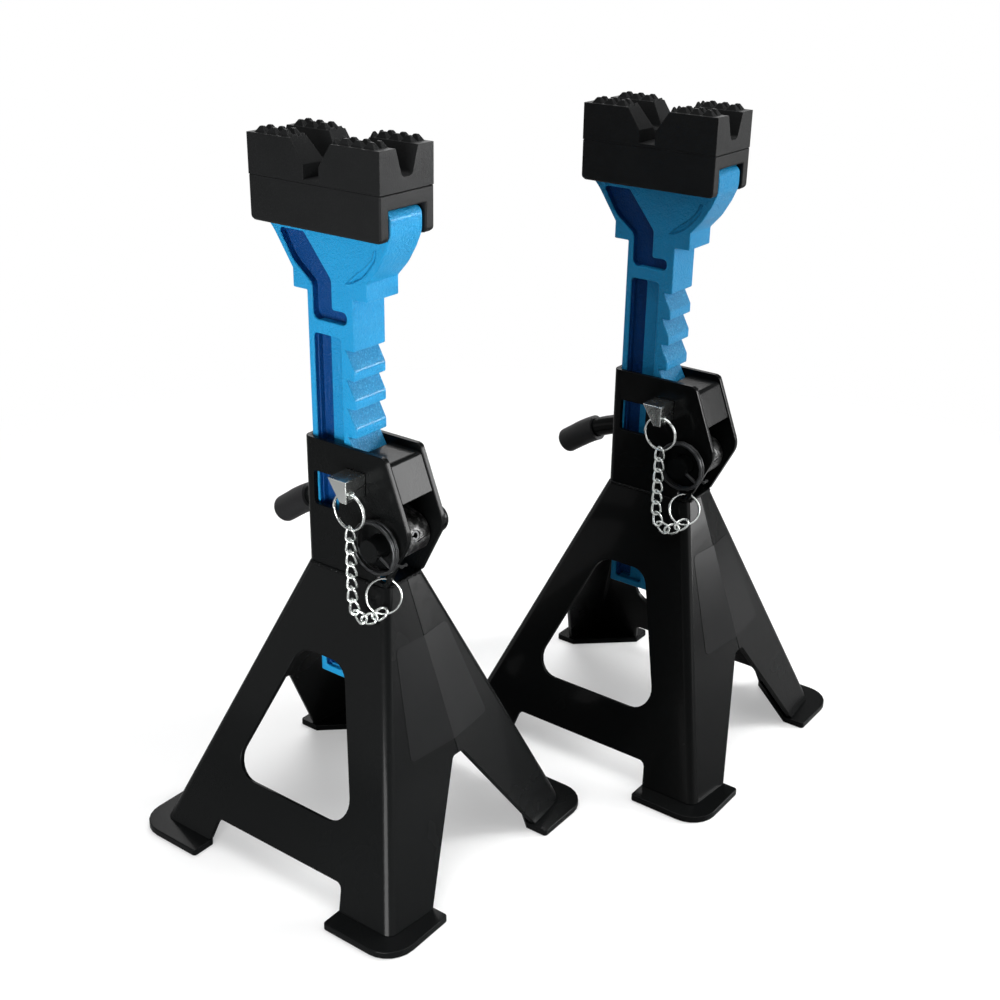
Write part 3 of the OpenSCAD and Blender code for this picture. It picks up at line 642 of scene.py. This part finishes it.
def windSpring(stand):
    source = nodes[f"{stand}_return_spring"]
    spring = openCopy(source, f"{stand}_wound_spring", springSize["samePoint"])
    bpy.ops.object.mode_set(mode="OBJECT")
    bpy.ops.object.shade_smooth_by_angle(angle=math.radians(edgeRules["smooth"]))
    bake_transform(spring)
    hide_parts(source.name)
    spring.data.materials.clear()
    spring.data.materials.append(finishes[nodeFinish["return_spring"]])


for stand in stands:
    windSpring(stand)
print("springs wound")


# a bare film on the tapered front of each base: heights of its ends, half widths there, corner
# radius, how far it stands off, its thickness, how far out it starts, and half the seam it crosses
labelSize = {"low": 0.076, "high": 0.131, "halfLow": 0.032, "halfHigh": 0.0205, "corner": 0.003,
             "proud": 0.00008, "film": 0.00015, "startX": 0.2, "seam": 0.001}


def layLabel(stand):
    near, far = (bpy.data.objects[f"{stand}_base_{half}_rounded"] for half in ("near", "far"))
    middle = (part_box(f"{stand}_base_near")[1].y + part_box(f"{stand}_base_far")[0].y) / 2
    bpy.ops.object.select_all(action="DESELECT")
    bpy.ops.mesh.primitive_plane_add(size=1)
    film = pick(bpy.context.object)
    film.name = f"{stand}_label_film"
    for point in film.data.vertices:
        top = point.co.y > 0
        half = labelSize["halfHigh"] if top else labelSize["halfLow"]
        across, up = math.copysign(half, point.co.x), labelSize["high" if top else "low"]
        point.co = Vector((labelSize["startX"], middle + across, up))
    bpy.ops.object.mode_set(mode="EDIT")
    bpy.ops.mesh.select_all(action="SELECT")
    bpy.ops.mesh.bevel(offset=labelSize["corner"], segments=4, affect="VERTICES")
    bpy.ops.mesh.select_all(action="SELECT")
    bpy.ops.mesh.bisect(plane_co=(0, middle, 0), plane_no=(0, 1, 0))
    bpy.ops.object.mode_set(mode="OBJECT")
    bpy.context.view_layer.update()
    # each point drops onto its own half of the base, or onto that half's slope carried over the seam
    seam = labelSize["seam"]
    for point in film.data.vertices:
        side = near if point.co.y < middle else far
        inside = min(point.co.y, middle - seam) if side is near else max(point.co.y, middle + seam)
        start = Vector((labelSize["startX"], inside, point.co.z))
        found, place, normal, spot = side.ray_cast(start, Vector((-1, 0, 0)))
        lean = (point.co.y - inside) * normal.y / normal.x
        point.co.x = place.x - lean + labelSize["proud"]
    sheet = film.modifiers.new("film", "SOLIDIFY")
    sheet.thickness, sheet.offset = labelSize["film"], 1
    bpy.ops.object.modifier_apply(modifier="film")
    finishPiece(film, "labelFilm", "root")


# weld beads where the head stands on the base: bead radius, spacing, sideways play, how much their
# sizes differ, how fast play and size swing from bead to bead, their shape along, across and up,
# their lean in degrees, and the mesh size of the seam
weldSize = {"radius": 0.0014, "step": 0.0011, "wander": 0.00012, "uneven": 0.10, "swing": (2.3, 1.7),
            "shape": (0.62, 1.0, 0.8), "lean": -32, "voxel": 0.00030}
# from the head's low end along X: the mouth, and the two ends of the side seams; half the mouth's
# width; how high above the base the seams lie
weldPlaces = {"mouth": 0.0545, "start": 0.003, "end": 0.044, "halfMouth": 0.0112,
              "mouthUp": 0.0002, "sideUp": 0.0003}


def layWeld(name, start, end):
    start, end = Vector(start), Vector(end)
    along = (end - start).normalized()
    turn = along.to_track_quat("X", "Z").to_matrix().to_4x4()
    tilt = Matrix.Rotation(math.radians(weldSize["lean"]), 4, "Y")
    long, wide, high = weldSize["shape"]
    playSwing, sizeSwing = weldSize["swing"]
    count = round((end - start).length / weldSize["step"])
    beads = []
    for spot in range(count + 1):
        drift = math.sin(spot * playSwing) * weldSize["wander"]
        size = 1 + weldSize["uneven"] * math.sin(spot * sizeSwing)
        bpy.ops.object.select_all(action="DESELECT")
        bpy.ops.mesh.primitive_uv_sphere_add(segments=16, ring_count=10, radius=weldSize["radius"])
        bead = bpy.context.object
        squeeze = Matrix.Diagonal((long * size, wide * size, high * size, 1))
        place = start.lerp(end, spot / count) + turn.to_3x3() @ Vector((0, drift, 0))
        bead.data.transform(Matrix.Translation(place) @ turn @ tilt @ squeeze)
        beads.append(bead)
    weld = joinPieces(beads, name)
    fuse = weld.modifiers.new("fuse", "REMESH")
    fuse.mode, fuse.voxel_size = "VOXEL", weldSize["voxel"]
    bpy.ops.object.modifier_apply(modifier="fuse")
    bpy.ops.object.shade_smooth()
    finishPiece(weld, "blackEnamel", "root")


def weldHead(stand):
    low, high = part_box(f"{stand}_head_channel")
    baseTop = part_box(f"{stand}_base_near")[1].z
    middle, slot = (low.y + high.y) / 2, slotOf[f"{stand}_head_channel"]
    mouth, start, end = (low.x + weldPlaces[name] for name in ("mouth", "start", "end"))
    half, up = weldPlaces["halfMouth"], baseTop + weldPlaces["mouthUp"]
    layWeld(f"{stand}_mouth_weld", (mouth, middle - half, up), (mouth, middle + half, up))
    up = baseTop + weldPlaces["sideUp"]
    for side, edge in (("near", low.y), ("far", high.y)):
        layWeld(f"{stand}_{side}_weld", (start, edge, up), (end, edge, up))


for stand in stands:
    layLabel(stand)
    weldHead(stand)
print("labels and welds laid")


# the floor: its size and drop below the feet, the white that the camera sees and the grey that the
# object sees, and where it runs out into white. The world: its light, the heights over which what
# mirrors show fades from white, and what they show above
studio = {"floorSize": 40.0, "floorDrop": 0.0002, "floorSeen": 0.97, "floorBounce": 0.36,
          "fadeStart": 0.42, "fadeEnd": 0.75, "floorLift": 0.35,
          "worldLight": 0.22, "bandTop": (0.20, 0.36), "ceiling": 0.22}


def buildFloor():
    bpy.ops.object.select_all(action="DESELECT")
    bpy.ops.mesh.primitive_plane_add(size=studio["floorSize"], location=(0, 0, -studio["floorDrop"]))
    floor = bpy.context.object
    floor.name = "studioFloor"
    paint = Paint("floorPaper", (studio["floorSeen"],) * 3, 0.9, Specular_IOR_Level=0.0)
    seen = paint.node("ShaderNodeLightPath", {}, {}, "Is Camera Ray")
    bounce, bright = (studio["floorBounce"],) * 3, (studio["floorSeen"],) * 3
    paint.feed("Base Color", paint.blendColours(seen, bounce, bright))
    # far from the stands the paper runs out into plain white
    away = paint.node("ShaderNodeVectorMath", {"operation": "LENGTH"}, {0: paint.place}, "Value")
    fade = paint.node("ShaderNodeMapRange", {"interpolation_type": "SMOOTHSTEP"},
                      {0: away, 1: studio["fadeStart"], 2: studio["fadeEnd"],
                       3: studio["floorLift"], 4: 1.0})
    white = addNode(paint.tree, "ShaderNodeEmission", {}, {}).outputs[0]
    mix = addNode(paint.tree, "ShaderNodeMixShader", {},
                  {0: (fade * seen).socket, 1: paint.shader.outputs[0], 2: white})
    surface = paint.tree.nodes["Material Output"].inputs["Surface"]
    paint.tree.links.new(mix.outputs[0], surface)
    floor.data.materials.append(paint.material)


def lightWorld():
    # white wherever the camera looks and, low down, in what mirrors and glass show
    world = bpy.data.worlds.new("studioWorld")
    bpy.context.scene.world = world
    world.use_nodes = True
    tree = world.node_tree
    path = addNode(tree, "ShaderNodeLightPath", {}, {}).outputs
    mirrors = addNode(tree, "ShaderNodeMath", {"operation": "MAXIMUM"},
                      {0: path["Is Glossy Ray"], 1: path["Is Transmission Ray"]})
    ways = addNode(tree, "ShaderNodeTexCoord", {}, {}).outputs["Generated"]
    split = addNode(tree, "ShaderNodeSeparateXYZ", {}, {0: ways})
    bandLow, bandHigh = studio["bandTop"]
    high = addNode(tree, "ShaderNodeMapRange", {"interpolation_type": "SMOOTHSTEP"},
                   {0: split.outputs["Z"], 1: bandLow, 2: bandHigh, 3: 1.0, 4: studio["ceiling"]})
    plain = addNode(tree, "ShaderNodeMix", {"data_type": "FLOAT"},
                    {0: mirrors.outputs[0], 2: studio["worldLight"], 3: high.outputs[0]})
    shown = addNode(tree, "ShaderNodeMix", {"data_type": "FLOAT"},
                    {0: path["Is Camera Ray"], 2: plain.outputs[0], 3: 1.0})
    back = tree.nodes["Background"]
    tree.links.new(shown.outputs[0], back.inputs["Strength"])
    back.inputs["Color"].default_value = (1, 1, 1, 1)


def flagFill():
    # the front fill is flagged off the rear stand
    frontPieces = bpy.data.collections.new("frontStandPieces")
    for piece in bpy.context.scene.objects:
        if piece.type == "MESH" and not piece.name.startswith("rear_"):
            frontPieces.objects.link(piece)
    bpy.data.objects["frontStandFill"].light_linking.receiver_collection = frontPieces


buildFloor()
lightWorld()
flagFill()
bpy.context.scene.view_settings.view_transform = "Standard"
print("studio built")
